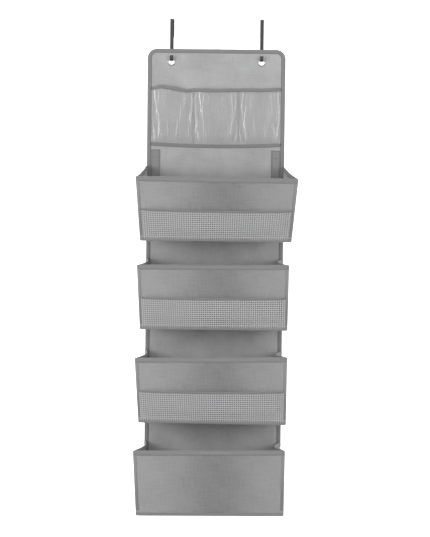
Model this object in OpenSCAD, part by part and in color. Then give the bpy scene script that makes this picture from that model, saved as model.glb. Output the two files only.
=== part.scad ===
// Over-the-door hanging organizer: a fabric panel on two steel hooks, with four deep
// pockets one under the other, three mesh pockets on their fronts and a clear pocket strip.
// X runs to the viewer's right, Y towards the door, Z up. The origin is on the door's top
// edge, midway between the hooks, in the plane of the door's front face.

/* [Back panel] */
// Width of the fabric panel
panel_w = 330; // [280:5:400]
// Thickness of the quilted fabric panel
panel_t = 2; // [1.5:0.5:3]
// Distance from the door's top edge down to the panel's top edge
panel_drop = 70.5; // [60:1:90]
// Distance from the panel's top edge down to the top pocket
pocket_drop = 289; // [270:1:310]
// Radius of the panel's two top corners
corner_r = 22; // [15:1:40]
// Width of the tape that binds the panel's edge
panel_tape_w = 10; // [8:0.5:14]
// Width of the patches sewn beside the top pocket's sides
patch_w = 21; // [10:1:30]
// Height of those patches
patch_h = 120; // [60:5:150]
// Distance from the panel's top edge down to those patches
patch_drop = 241; // [235:1:260]
// Thickness of every binding tape
tape_t = 0.6; // [0.4:0.1:0.8]

/* [Hooks and eyelets] */
// Distance between the two hooks, centre to centre
hook_spacing = 216; // [180:2:240]
// Width of the steel strap
strap_w = 9; // [8:0.5:12]
// Thickness of the steel strap
strap_t = 1.5; // [1:0.1:2]
// Door thickness that the hooks go over
door_t = 40; // [35:1:45]
// Length of the leg behind the door
rear_leg = 40; // [25:1:60]
// Width of the strap where it goes through the eyelet
tongue_w = 8; // [6:0.5:8]
// Inside width of the upturned end that carries the panel
j_gap = 14; // [12:0.5:16]
// Height of the narrow part of the leg above the bend
neck_h = 20; // [10:1:30]
// Height of the upturned end above the bottom of its bend
tongue_rise = 12; // [10:0.5:16]
// Distance from the panel's top edge down to the eyelets' centres
eyelet_drop = 31.5; // [28:0.5:40]
// Inside radius of an eyelet
eyelet_r = 6; // [6:0.25:7]
// Outside radius of an eyelet
eyelet_rim_r = 9.4; // [9:0.1:12]

/* [Deep pockets] */
// Height of a pocket front, and of a pocket at the panel
pocket_h = 155; // [120:5:170]
// Distance from one pocket down to the next
pocket_pitch = 222; // [200:2:240]
// Width of the lower three pockets at the rim
rim_w = 352; // [345:1:370]
// Width of the lower three pockets at the bottom
bottom_w = 343; // [335:1:350]
// Depth of the lower three pockets at the rim
rim_depth = 124; // [110:1:140]
// Depth of the lower three pockets at the bottom
bottom_depth = 118; // [105:1:130]
// How far the sides of every pocket rise above its front at the panel
side_rise = 9; // [0:1:12]
// How far the sides of the lower three pockets fold inwards at the rim
side_fold = 17; // [5:1:25]
// Width of the top pocket, which stands wide open, at the rim
top_rim_w = 376; // [360:1:390]
// Width of the top pocket at the bottom
top_bottom_w = 351; // [345:1:360]
// Depth of the top pocket at the rim
top_rim_depth = 142; // [130:1:150]
// Depth of the top pocket at the bottom
top_bottom_depth = 124; // [115:1:130]
// How far the top pocket's front hangs below its seam on the panel
top_sag = 10; // [0:1:15]
// How far the top pocket's sides fold inwards at the rim
top_fold = 4; // [0:1:10]

/* [Fabric and tapes] */
// Thickness of a pocket front, with its board inside
front_t = 2.6; // [2.2:0.2:4]
// Thickness of the stiffening board inside a front
board_t = 1.2; // [0.8:0.1:1.4]
// Distance of the board's edge from the front's edge
board_margin = 9; // [6:1:15]
// Thickness of the fabric sides
side_t = 1.2; // [0.8:0.1:2]
// Thickness of the pocket bottoms
bottom_t = 1.6; // [1:0.2:2.4]
// Height of the tape along a pocket's rim
rim_tape_h = 11; // [8:0.5:14]
// Height of the tape along the bottom of a front
foot_tape_h = 8; // [6:0.5:9]
// Width of the tape along the sides of a front
corner_tape_w = 8; // [5:0.5:10]

/* [Mesh pockets] */
// Height of a mesh pocket above the tape at its foot, without its hem
mesh_h = 66; // [50:1:90]
// Height of the hem along a mesh pocket's mouth
mesh_hem_h = 4; // [3:0.5:6]
// How far a mesh pocket bulges from the front
mesh_bulge = 8; // [7:0.5:12]
// Thickness of the mesh
mesh_t = 0.6; // [0.4:0.1:1]

/* [Clear pockets] */
// Height from the foot of the clear sheet to its taped top edge
clear_h = 138; // [120:1:150]
// Distance from the panel's top edge down to the clear sheet's top edge
clear_drop = 93; // [85:1:110]
// Distance between the two seams that divide the clear sheet
clear_middle = 108; // [90:2:120]
// How far the clear sheet bulges from the panel
clear_bulge = 8; // [7:0.5:12]
// Thickness of the clear sheet
clear_t = 0.5; // [0.3:0.1:0.8]
// Height of the tape along the clear sheet's top edge
clear_tape_h = 11; // [8:0.5:14]
// Height of the tape along the clear sheet's foot
clear_foot_h = 9; // [6:0.5:12]

/* [Hidden] */
$fn = 64;
pocket_count = 4;
mesh_count = 3;
clearance = 0.3;
cut = 5;

panel_mid_y = -(strap_t + j_gap / 2);
panel_front_y = panel_mid_y - panel_t / 2;
panel_back_y = panel_mid_y + panel_t / 2;
seam_y = panel_front_y - tape_t;
panel_top_z = -panel_drop;
panel_h = pocket_drop + (pocket_count - 1) * pocket_pitch + pocket_h;
panel_bottom_z = panel_top_z - panel_h;

bend_r = 1.5;
hook_x = hook_spacing / 2;
eyelet_z = panel_top_z - eyelet_drop;
swing_clearance = 0.7;
tongue_z = eyelet_z + sqrt(pow(eyelet_r, 2) - pow(tongue_w / 2, 2)) - swing_clearance;
tongue_centre_z = tongue_z + j_gap / 2;
neck_z = tongue_centre_z + neck_h;
barrel_t = 1;
flange_t = 1.3;
flange_chamfer = 0.5;

clear_w = panel_w - 2 * (panel_tape_w + clearance);
clear_top_z = panel_top_z - clear_drop;
clear_bottom_z = clear_top_z - clear_h;
clear_ramp = 12;
mesh_ramp = 14;

pocket_parts = [
    "front", "front_board", "left_gusset", "right_gusset", "bottom", "rim_binding",
    "foot_binding", "corner_bindings", "gusset_bindings"
];

// ---- Sizes of pocket n, counted from the top ----

function is_top(n) = n == 1;
function depth_at_rim(n) = is_top(n) ? top_rim_depth : rim_depth;
function depth_at_foot(n) = is_top(n) ? top_bottom_depth : bottom_depth;
function half_at_rim(n) = (is_top(n) ? top_rim_w : rim_w) / 2;
function half_at_foot(n) = (is_top(n) ? top_bottom_w : bottom_w) / 2;
function fold_at_rim(n) = is_top(n) ? top_fold : side_fold;
function lean(n) = asin((depth_at_rim(n) - depth_at_foot(n)) / pocket_h);

// Underside of the pocket at the panel, and under its front
function foot_z(n) = panel_bottom_z + (pocket_count - n) * pocket_pitch;
function front_foot_z(n) = foot_z(n) - (is_top(n) ? top_sag : 0);
function back_rim_z(n) = foot_z(n) + pocket_h + side_rise;

// Half the front's width at a distance s up its slope
function half_at(n, s) = half_at_foot(n) + (half_at_rim(n) - half_at_foot(n)) * s / pocket_h;

// Where the sides and the bottom end, a clearance behind the front's inner tape
function front_edge_y(n, s) =
    panel_front_y - depth_at_foot(n) - s * sin(lean(n)) + (tape_t + clearance) / cos(lean(n));
function front_edge_z(n, s) = front_foot_z(n) + s * cos(lean(n));

// ---- Shared shapes ----

// Closed solid between a grid of points and the same grid moved by a vector
module sheet(rows, move) {
    nr = len(rows);
    nc = len(rows[0]);
    all = [for (row = rows) for (p = row) p];
    far = nr * nc;
    function at(r, c) = r * nc + c;
    function two(a, b, c, d) = [[a, b, c], [a, c, d]];
    near_faces = [
        for (r = [0:nr - 2]) for (c = [0:nc - 2])
            each two(at(r, c), at(r, c + 1), at(r + 1, c + 1), at(r + 1, c))
    ];
    border = concat(
        [for (c = [0:nc - 1]) at(0, c)],
        [for (r = [1:nr - 1]) at(r, nc - 1)],
        [for (c = [nc - 2:-1:0]) at(nr - 1, c)],
        [for (r = [nr - 2:-1:1]) at(r, 0)]
    );
    nb = len(border);
    walls = [
        for (i = [0:nb - 1])
            let (a = border[i], b = border[(i + 1) % nb])
                each two(b, a, a + far, b + far)
    ];
    far_faces = [for (f = near_faces) [f[2] + far, f[1] + far, f[0] + far]];
    polyhedron(
        points = concat(all, [for (p = all) p + move]),
        faces = concat(near_faces, far_faces, walls)
    );
}

// Turns a flat outline in X and Z into a plate from y0 forwards to y1, which is the lower value
module plate(y0, y1) {
    translate([0, y0, 0])
        rotate([90, 0, 0])
            linear_extrude(y0 - y1)
                children();
}

// The panel's outline, drawn in by a margin: square at the foot and round at the top corners
module panel_outline(margin) {
    r = corner_r - margin;
    half = panel_w / 2 - margin;
    top = panel_top_z - margin;
    bottom = panel_bottom_z + margin;
    translate([-half, bottom])
        square([2 * half, top - r - bottom]);
    translate([-half + r, bottom])
        square([2 * (half - r), top - bottom]);
    for (side = [-1, 1])
        translate([side * (half - r), top - r])
            circle(r = r);
}

// Outline of pocket n's front between two heights, wider by a margin
module front_outline(n, s0, s1, margin = 0) {
    polygon([
        [-half_at(n, s0) - margin, s0],
        [half_at(n, s0) + margin, s0],
        [half_at(n, s1) + margin, s1],
        [-half_at(n, s1) - margin, s1]
    ]);
}

// Puts children in the front's own frame: its inner face at y 0, its foot at z 0
module on_front(n) {
    translate([0, panel_front_y - depth_at_foot(n), front_foot_z(n)])
        rotate([lean(n), 0, 0])
            children();
}

module at_each_eyelet() {
    for (side = [-1, 1])
        translate([side * hook_x, 0, eyelet_z])
            children();
}

// ---- Hooks ----

// Quarter of a ring in the strap's thickness, from a start angle
module strap_bend(inside_r, start) {
    rotate(start)
        intersection() {
            difference() {
                circle(r = inside_r + strap_t);
                circle(r = inside_r);
            }
            square(inside_r + strap_t);
        }
}

// Side view of the strap above the tongue: the rear leg, the top and the front leg
module hook_side_upper() {
    translate([door_t, -rear_leg])
        square([strap_t, rear_leg - bend_r]);
    translate([bend_r, 0])
        square([door_t - 2 * bend_r, strap_t]);
    translate([-strap_t, neck_z])
        square([strap_t, -bend_r - neck_z]);
    translate([door_t - bend_r, -bend_r])
        strap_bend(bend_r, 0);
    translate([bend_r, -bend_r])
        strap_bend(bend_r, 90);
}

// Side view of the narrower tongue, which turns up in front of the panel
module hook_side_tongue() {
    translate([-strap_t, tongue_centre_z])
        square([strap_t, neck_h]);
    translate([panel_mid_y, tongue_centre_z]) {
        strap_bend(j_gap / 2, 180);
        strap_bend(j_gap / 2, 270);
    }
    translate([-2 * strap_t - j_gap, tongue_centre_z])
        square([strap_t, tongue_rise - j_gap / 2]);
}

module hook(side) {
    color([0.28, 0.28, 0.29])
        translate([side * hook_x, 0, 0])
            rotate([90, 0, 90]) {
                translate([0, 0, -strap_w / 2])
                    linear_extrude(strap_w)
                        hook_side_upper();
                translate([0, 0, -tongue_w / 2])
                    linear_extrude(tongue_w)
                        hook_side_tongue();
            }
}

// ---- Back panel ----

module back_panel() {
    color([0.63, 0.63, 0.63])
        difference() {
            plate(panel_back_y, panel_front_y)
                panel_outline(tape_t);
            at_each_eyelet()
                rotate([90, 0, 0])
                    cylinder(r = eyelet_r + barrel_t, h = 2 * j_gap + cut, center = true);
        }
}

module panel_binding() {
    color([0.52, 0.52, 0.52])
        difference() {
            plate(panel_back_y + tape_t, panel_front_y - tape_t)
                panel_outline(0);
            plate(panel_back_y, panel_front_y)
                panel_outline(tape_t);
            plate(panel_back_y + cut, panel_front_y - cut)
                panel_outline(panel_tape_w);
        }
}

// Upright patches on the panel, beside both sides of the top pocket
module side_patches() {
    outer_x = panel_w / 2 - panel_tape_w - clearance;
    color([0.5, 0.5, 0.5])
        plate(panel_front_y, panel_front_y - tape_t)
            for (x = [-outer_x, outer_x - patch_w])
                translate([x, panel_top_z - patch_drop - patch_h])
                    square([patch_w, patch_h]);
}

// Front halves of the eyelets, each a chamfered flange with a barrel through the panel
module eyelets() {
    top = flange_t;
    inner = eyelet_r;
    outer = eyelet_rim_r;
    edge = flange_chamfer;
    color([0.85, 0.85, 0.86])
        at_each_eyelet()
            translate([0, panel_front_y, 0])
                rotate([90, 0, 0])
                    rotate_extrude()
                        polygon([
                            [inner, -panel_t - flange_t],
                            [inner + barrel_t, -panel_t - flange_t],
                            [inner + barrel_t, 0],
                            [outer, 0],
                            [outer, top - edge],
                            [outer - edge, top],
                            [inner + edge, top],
                            [inner, top - edge]
                        ]);
}

// Rings that close the eyelets behind the panel
module eyelet_washers() {
    color([0.8, 0.8, 0.81])
        at_each_eyelet()
            translate([0, panel_back_y + flange_t, 0])
                rotate([90, 0, 0])
                    rotate_extrude()
                        polygon([
                            [eyelet_r + barrel_t, 0],
                            [eyelet_rim_r - flange_chamfer, 0],
                            [eyelet_rim_r, flange_chamfer],
                            [eyelet_rim_r, flange_t],
                            [eyelet_r + barrel_t, flange_t]
                        ]);
}

// ---- Clear pocket strip ----

// Places across the strip, with 0 where the sheet is sewn down and 1 where it stands out
clear_columns = [
    for (seams = [
        [-clear_w / 2, -clear_middle / 2],
        [-clear_middle / 2, clear_middle / 2],
        [clear_middle / 2, clear_w / 2]
    ])
        each [[seams[0], 0], [seams[0] + clear_ramp, 1], [seams[1] - clear_ramp, 1]],
    [clear_w / 2, 0]
];

function clear_row(z, out, extra = 0) = [
    for (c = clear_columns) [c[0], panel_front_y + extra - clear_bulge * c[1] * out, z]
];

module clear_pocket_sheet() {
    color([0.8, 0.82, 0.84, 0.5])
        sheet([
            clear_row(clear_bottom_z + 1, 0),
            clear_row(clear_bottom_z + clear_foot_h, 0),
            clear_row(clear_bottom_z + clear_foot_h + clear_ramp, 1),
            clear_row(clear_top_z - clear_tape_h, 1)
        ], [0, -clear_t, 0]);
}

module clear_pocket_top_binding() {
    color([0.52, 0.52, 0.52])
        sheet([
            clear_row(clear_top_z - clear_tape_h, 1),
            clear_row(clear_top_z, 1)
        ], [0, -clear_t - tape_t, 0]);
}

module clear_pocket_foot_binding() {
    color([0.52, 0.52, 0.52])
        plate(panel_front_y - clear_t, panel_front_y - clear_t - tape_t)
            translate([-clear_w / 2, clear_bottom_z])
                square([clear_w, clear_foot_h]);
}

// ---- Deep pockets ----

// Fabric front of pocket n, hollow where its board lies
module pocket_front(n) {
    skin = (front_t - board_t) / 2;
    color([0.58, 0.58, 0.58])
        on_front(n)
            difference() {
                plate(0, -front_t)
                    front_outline(n, 0, pocket_h);
                plate(-skin, -front_t + skin)
                    front_outline(n, board_margin, pocket_h - board_margin, -board_margin);
            }
}

module pocket_front_board(n) {
    skin = (front_t - board_t) / 2;
    color([0.75, 0.7, 0.6])
        on_front(n)
            plate(-skin, -front_t + skin)
                front_outline(n, board_margin, pocket_h - board_margin, -board_margin);
}

// One row of a side's points, from the panel past the fold to the front
function gusset_row(n, side, s, back_z, grow) =
    let (
        back_x = panel_w / 2 + grow,
        front_x = half_at(n, s) + grow,
        fold = fold_at_rim(n) * s / pocket_h
    )
    [
        [side * back_x, seam_y, back_z],
        [
            side * ((back_x + front_x) / 2 - fold),
            (seam_y + front_edge_y(n, s)) / 2,
            (back_z + front_edge_z(n, s)) / 2
        ],
        [side * front_x, front_edge_y(n, s), front_edge_z(n, s)]
    ];

module pocket_gusset(n, side) {
    bottom_s = bottom_t / cos(lean(n));
    top_s = pocket_h - rim_tape_h;
    low = gusset_row(n, side, bottom_s, foot_z(n) + bottom_t, 0);
    high = gusset_row(n, side, top_s, back_rim_z(n) - rim_tape_h, 0);
    color([0.56, 0.56, 0.56])
        sheet(side > 0 ? [low, high] : [high, low], [-side * side_t, 0, 0]);
}

// Tapes along the rims of both sides of pocket n
module pocket_gusset_bindings(n) {
    color([0.52, 0.52, 0.52])
        for (side = [-1, 1]) {
            low = gusset_row(n, side, pocket_h - rim_tape_h, back_rim_z(n) - rim_tape_h, tape_t);
            high = gusset_row(n, side, pocket_h, back_rim_z(n), tape_t);
            move = [-side * (side_t + 2 * tape_t), 0, 0];
            sheet(side > 0 ? [low, high] : [high, low], move);
        }
}

module pocket_bottom(n) {
    back_half = panel_w / 2;
    front_half = half_at_foot(n);
    color([0.56, 0.56, 0.56])
        sheet([
            [[-back_half, seam_y, foot_z(n)], [back_half, seam_y, foot_z(n)]],
            [
                [-front_half, front_edge_y(n, 0), front_foot_z(n)],
                [front_half, front_edge_y(n, 0), front_foot_z(n)]
            ]
        ], [0, 0, bottom_t]);
}

// Tape folded over the rim of pocket n's front
module pocket_rim_binding(n) {
    color([0.52, 0.52, 0.52])
        on_front(n)
            difference() {
                plate(tape_t, -front_t - tape_t)
                    front_outline(n, pocket_h - rim_tape_h, pocket_h + tape_t);
                plate(0, -front_t)
                    front_outline(n, 0, pocket_h, cut);
            }
}

// Tape folded under the foot of pocket n's front
module pocket_foot_binding(n) {
    color([0.52, 0.52, 0.52])
        on_front(n)
            difference() {
                plate(tape_t, -front_t - tape_t)
                    front_outline(n, -tape_t, foot_tape_h);
                plate(0, -front_t)
                    front_outline(n, 0, pocket_h, cut);
            }
}

// Tapes down both side edges of pocket n's front
module pocket_corner_bindings(n) {
    low = foot_tape_h;
    high = pocket_h - rim_tape_h;
    color([0.55, 0.55, 0.55])
        on_front(n)
            difference() {
                plate(0, -front_t - tape_t)
                    front_outline(n, low, high, tape_t);
                plate(cut, -front_t)
                    front_outline(n, 0, pocket_h);
                plate(cut, -front_t - cut)
                    front_outline(n, 0, pocket_h, -corner_tape_w);
            }
}

// ---- Mesh pockets ----

function mesh_row(n, s, out) =
    let (half = half_at(n, s) - corner_tape_w, base = -front_t)
    [
        for (c = [[-half, 0], [-half + mesh_ramp, 1], [half - mesh_ramp, 1], [half, 0]])
            [c[0], base - mesh_bulge * c[1] * out, s]
    ];

module pocket_mesh(n) {
    color([0.66, 0.66, 0.66])
        on_front(n)
            sheet([
                mesh_row(n, foot_tape_h, 0),
                mesh_row(n, foot_tape_h + mesh_ramp, 1),
                mesh_row(n, foot_tape_h + mesh_h, 1)
            ], [0, -mesh_t, 0]);
}

module pocket_mesh_hem(n) {
    color([0.52, 0.52, 0.52])
        on_front(n)
            sheet([
                mesh_row(n, foot_tape_h + mesh_h, 1),
                mesh_row(n, foot_tape_h + mesh_h + mesh_hem_h, 1)
            ], [0, -mesh_t - tape_t, 0]);
}

// ---- The part ----

hook(-1);  // hook_left
hook(1);  // hook_right
back_panel();
panel_binding();
eyelets();
eyelet_washers();
side_patches();
clear_pocket_sheet();
clear_pocket_top_binding();
clear_pocket_foot_binding();

for (n = [1:pocket_count]) {
    pocket_front(n);
    pocket_front_board(n);
    pocket_gusset(n, -1);
    pocket_gusset(n, 1);
    pocket_bottom(n);
    pocket_rim_binding(n);
    pocket_foot_binding(n);
    pocket_corner_bindings(n);
    pocket_gusset_bindings(n);
}

for (n = [1:mesh_count]) {
    pocket_mesh(n);
    pocket_mesh_hem(n);
}
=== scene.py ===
"""Looks of the over-the-door organizer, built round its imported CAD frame. Metres, Z up."""

import math

import bmesh
import bpy
import numpy as np
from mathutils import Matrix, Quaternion, Vector


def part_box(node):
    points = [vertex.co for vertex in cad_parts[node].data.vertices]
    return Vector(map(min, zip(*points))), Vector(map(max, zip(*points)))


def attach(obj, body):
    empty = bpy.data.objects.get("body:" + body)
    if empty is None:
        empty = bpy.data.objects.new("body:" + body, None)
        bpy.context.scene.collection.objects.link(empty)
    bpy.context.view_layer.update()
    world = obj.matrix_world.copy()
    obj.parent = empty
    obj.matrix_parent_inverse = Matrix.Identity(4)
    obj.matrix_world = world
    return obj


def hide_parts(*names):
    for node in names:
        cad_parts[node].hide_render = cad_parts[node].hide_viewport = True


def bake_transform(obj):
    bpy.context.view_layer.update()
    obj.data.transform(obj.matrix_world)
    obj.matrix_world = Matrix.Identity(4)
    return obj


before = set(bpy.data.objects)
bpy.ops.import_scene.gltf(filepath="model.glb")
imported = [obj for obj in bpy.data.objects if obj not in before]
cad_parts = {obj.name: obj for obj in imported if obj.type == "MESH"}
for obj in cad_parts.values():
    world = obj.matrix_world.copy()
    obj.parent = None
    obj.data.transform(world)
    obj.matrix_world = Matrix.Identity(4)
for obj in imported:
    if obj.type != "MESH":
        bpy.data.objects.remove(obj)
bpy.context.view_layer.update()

MM = 0.001
POCKETS = (1, 2, 3, 4)
MESH_POCKETS = (1, 2, 3)
SIDES = {"left": -1, "right": 1}

TAPE = 0.6 * MM
THREAD = 0.4 * MM
STITCH_PITCH = 4.0 * MM
STITCH_LENGTH = 3.0 * MM
WEAVE_PITCH = 1.0 * MM
MESH_PITCH = 5.0 * MM


# ---- Reading the CAD frame ----


def node_points(name):
    """All vertices of a CAD node."""
    return np.array([v.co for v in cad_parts[name].data.vertices])


def corner(name, sx, sy, sz):
    """The vertex of a CAD node that lies furthest towards a direction."""
    points = node_points(name)
    return points[np.argmax(points @ np.array([sx, sy, sz]))]


PANEL_LOW, PANEL_HIGH = (np.array(p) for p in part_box("back_panel"))
PANEL_Y = (PANEL_LOW[1] + PANEL_HIGH[1]) / 2
PANEL_HALF_T = (PANEL_HIGH[1] - PANEL_LOW[1]) / 2
TAPE_LOW, TAPE_HIGH = (np.array(p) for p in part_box("panel_binding"))
HALF_W = TAPE_HIGH[0]
TOP_Z = TAPE_HIGH[2]
BOTTOM_Z = TAPE_LOW[2]
CORNER_R = 22 * MM
PANEL_TAPE_W = 10 * MM
PATCH_W = 21 * MM
PATCH_BAR = 33
EYELET_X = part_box("hook_right")[0][0] + 4.5 * MM
EYELET_Z = sum(p[2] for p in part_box("eyelets")) / 2


# ---- Numbers that shape cloth ----


def ripple(u, v, size, seed):
    """Smooth uneven relief between about -1 and 1, with features of about that size."""
    total = 0
    for k in range(5):
        angle = 2.4 * k + seed
        wave = 2 * math.pi / (size * (0.7 + 0.23 * k))
        along = u * math.cos(angle) + v * math.sin(angle)
        total = total + np.sin(wave * along + 1.7 * k * seed)
    return total / 5


def hump(value, centre, width):
    """1 at the centre, falling smoothly to 0 over about the width on both sides."""
    return np.exp(-(((value - centre) / width) ** 2))


def smooth(value, low, high):
    """0 below low, 1 above high, with a smooth step between."""
    t = np.clip((value - low) / (high - low), 0, 1)
    return t * t * (3 - 2 * t)


def unit(vectors):
    """Each vector at length 1."""
    length = np.linalg.norm(vectors, axis=-1, keepdims=True)
    return vectors / np.maximum(length, 1e-12)


def panel_relief(x, z):
    """How far the hanging panel stands forward of its flat plane."""
    inside = smooth(HALF_W - abs(x), 0.0, 0.03) * 0.8 + 0.2
    relief = 1.6 * MM * ripple(x, z, 0.17, 0.7) + 0.5 * MM * ripple(x, z, 0.06, 1.9)
    relief = relief - 2.8 * MM * hump(x + 0.3 * (z + 0.11), 0.062, 0.03) * hump(z, -0.11, 0.016)
    relief = relief + 1.8 * MM * hump(x - 0.4 * (z + 0.13), 0.03, 0.03) * hump(z, -0.128, 0.014)
    relief = relief - 1.6 * MM * hump(x, -0.13, 0.03) * hump(z, -0.118, 0.02)
    relief = relief + 1.5 * MM * hump(x, -0.04, 0.05) * hump(z, -0.105, 0.02)
    relief = relief + 1.2 * MM * hump(z, TOP_Z - 0.02, 0.01) * np.sin(x * 38)
    flat = 1 - hump(abs(x), EYELET_X, 0.02) * hump(z, EYELET_Z, 0.02)
    return relief * inside * flat


def on_panel(x, z, out=0.0):
    """Points on the panel's front face, or that far in front of it."""
    x, z = np.broadcast_arrays(np.asarray(x, float), np.asarray(z, float))
    y = PANEL_LOW[1] - panel_relief(x, z) - out
    return np.stack([x, y, z], axis=-1)


# ---- Mesh building ----


def add_piece(name, points, faces, uv, material, smooth_faces=True):
    """A mesh object from points, faces and one uv pair per point, with its faces turned outwards."""
    mesh = bpy.data.meshes.new(name)
    mesh.from_pydata([tuple(p) for p in points], [], [tuple(int(i) for i in f) for f in faces])
    layer = mesh.uv_layers.new(name="metres")
    corners = np.zeros(len(mesh.loops), int)
    mesh.loops.foreach_get("vertex_index", corners)
    layer.data.foreach_set("uv", np.asarray(uv, np.float32)[corners].ravel())
    bm = bmesh.new()
    bm.from_mesh(mesh)
    bmesh.ops.recalc_face_normals(bm, faces=bm.faces)
    bm.to_mesh(mesh)
    bm.free()
    mesh.shade_smooth() if smooth_faces else mesh.shade_flat()
    mesh.materials.append(material)
    piece = bpy.data.objects.new(name, mesh)
    bpy.context.scene.collection.objects.link(piece)
    return piece


def grid_normals(mid):
    """Unit normals of a grid of points; columns along +X and rows along +Z face the viewer."""
    across = np.gradient(mid, axis=1)
    up = np.gradient(mid, axis=0)
    return unit(np.cross(across, up))


def grid_uv(mid):
    """Distances across and up a grid, in metres."""
    across = np.linalg.norm(np.diff(mid, axis=1), axis=2)
    up = np.linalg.norm(np.diff(mid, axis=0), axis=2)
    u = np.concatenate([np.zeros((len(mid), 1)), np.cumsum(across, axis=1)], axis=1)
    v = np.concatenate([np.zeros((1, mid.shape[1])), np.cumsum(up, axis=0)], axis=0)
    return np.stack([u - u.mean(axis=1, keepdims=True), v], axis=-1)


def border_of(rows, columns):
    """Indices round the edge of a grid, in order."""
    low = [c for c in range(columns)]
    right = [r * columns + columns - 1 for r in range(1, rows)]
    high = [(rows - 1) * columns + c for c in range(columns - 2, -1, -1)]
    left = [r * columns for r in range(rows - 2, 0, -1)]
    return low + right + high + left


def border_out(mid):
    """Directions that point out of a grid's edge, for the points of border_of."""
    rows, columns = mid.shape[:2]
    away = np.zeros_like(mid)
    away[0] += unit(mid[0] - mid[1])
    away[-1] += unit(mid[-1] - mid[-2])
    away[:, 0] += unit(mid[:, 0] - mid[:, 1])
    away[:, -1] += unit(mid[:, -1] - mid[:, -2])
    return unit(away.reshape(-1, 3)[border_of(rows, columns)])


def cloth(name, mid, thick, material):
    """A closed piece of cloth round a grid of points, with a rounded edge."""
    rows, columns = mid.shape[:2]
    count = rows * columns
    normals = grid_normals(mid)
    near = (mid + normals * thick / 2).reshape(-1, 3)
    far = (mid - normals * thick / 2).reshape(-1, 3)
    border = np.array(border_of(rows, columns))
    rim = mid.reshape(-1, 3)[border] + border_out(mid) * thick / 2
    index = np.arange(count).reshape(rows, columns)
    a, b = index[:-1, :-1].ravel(), index[:-1, 1:].ravel()
    c, d = index[1:, 1:].ravel(), index[1:, :-1].ravel()
    faces = list(np.stack([a, b, c, d], 1)) + list(np.stack([d, c, b, a], 1) + count)
    ring = 2 * count + np.arange(len(border))
    after, next_ring = np.roll(border, -1), np.roll(ring, -1)
    faces += list(np.stack([after, border, ring, next_ring], 1))
    faces += list(np.stack([border + count, after + count, next_ring, ring], 1))
    flat = grid_uv(mid).reshape(-1, 2)
    points = np.concatenate([near, far, rim])
    return add_piece(name, points, faces, np.concatenate([flat, flat, flat[border]]), material)


def sweep(name, rings, material, closed=False):
    """A closed solid through rings of points, in a loop or with a cap at each end."""
    stations, around = rings.shape[:2]
    index = np.arange(stations * around).reshape(stations, around)
    after = np.roll(index, -1, axis=0) if closed else index[1:]
    here = index if closed else index[:-1]
    quads = [here, np.roll(here, -1, axis=1), np.roll(after, -1, axis=1), after]
    faces = list(np.stack([q.ravel() for q in quads], axis=1))
    if not closed:
        faces += [index[0][::-1], index[-1]]
    along = np.linalg.norm(np.diff(rings.mean(axis=1), axis=0), axis=1)
    u = np.concatenate([[0], np.cumsum(along)])[:, None] + np.zeros((1, around))
    side = np.linalg.norm(np.diff(rings[0], axis=0), axis=1)
    v = np.concatenate([[0], np.cumsum(side)])[None, :] + np.zeros((stations, 1))
    uv = np.stack([u, v], axis=-1).reshape(-1, 2)
    return add_piece(name, rings.reshape(-1, 3), faces, uv, material)


def join(name, pieces):
    """Several meshes as one object, keeping their materials."""
    if len(pieces) == 1:
        pieces[0].name = name
        return pieces[0]
    bpy.ops.object.select_all(action="DESELECT")
    for piece in pieces:
        piece.select_set(True)
    bpy.context.view_layer.objects.active = pieces[0]
    bpy.ops.object.join()
    pieces[0].name = name
    return pieces[0]


def tape_section(width, half, puff):
    """Outline of a tape folded over an edge: (distance outwards, distance off the cloth)."""
    reach = half + TAPE
    near = [
        (-width, half),
        (-width, half + 0.6 * TAPE),
        (-width + 0.6 * TAPE, reach),
        (-0.8 * width, reach + 0.7 * puff),
        (-0.5 * width, reach + puff),
        (-0.25 * width, reach + 0.6 * puff),
    ]
    bend = [(reach * (math.cos(a) - 1), reach * math.sin(a)) for a in np.linspace(1.35, -1.35, 7)]
    inner = [(-TAPE - half, -half), (-TAPE - 0.3 * half, 0), (-TAPE - half, half)]
    return np.array(near + bend + [(o, -n) for o, n in reversed(near)] + inner)


def tape_along(name, edge, out, normal, width, half, material, puff=0.35 * MM, closed=False):
    """A tape folded over a cloth's edge, all along it."""
    section = tape_section(width, half, puff)
    base = edge + out * TAPE
    rings = base[:, None] + out[:, None] * section[None, :, :1] + normal[:, None] * section[None, :, 1:]
    return sweep(name, rings, material, closed)


def grid_edge(mid, side):
    """(points, outward directions, normals) along one edge of a grid."""
    normals = grid_normals(mid)
    pick = {
        "top": (mid[-1], mid[-2], normals[-1]),
        "foot": (mid[0], mid[1], normals[0]),
        "left": (mid[:, 0], mid[:, 1], normals[:, 0]),
        "right": (mid[:, -1], mid[:, -2], normals[:, -1]),
    }
    edge, inner, normal = pick[side]
    return edge, unit(edge - inner), normal


def edge_tape(name, mid, side, width, half, material, puff=0.35 * MM):
    """A tape folded over one edge of a cloth grid."""
    edge, out, normal = grid_edge(mid, side)
    return tape_along(name, edge, out, normal, width, half, material, puff)


def resample(line, pitch):
    """Points at an even pitch along a line, and the direction of the line at each."""
    step = np.linalg.norm(np.diff(line, axis=0), axis=1)
    along = np.concatenate([[0], np.cumsum(step)])
    at = np.arange(pitch / 2, along[-1], pitch)
    points = np.stack([np.interp(at, along, line[:, k]) for k in range(3)], axis=1)
    ahead = np.stack([np.interp(at + pitch / 4, along, line[:, k]) for k in range(3)], axis=1)
    back = np.stack([np.interp(at - pitch / 4, along, line[:, k]) for k in range(3)], axis=1)
    return points, unit(ahead - back), at, along


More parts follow.
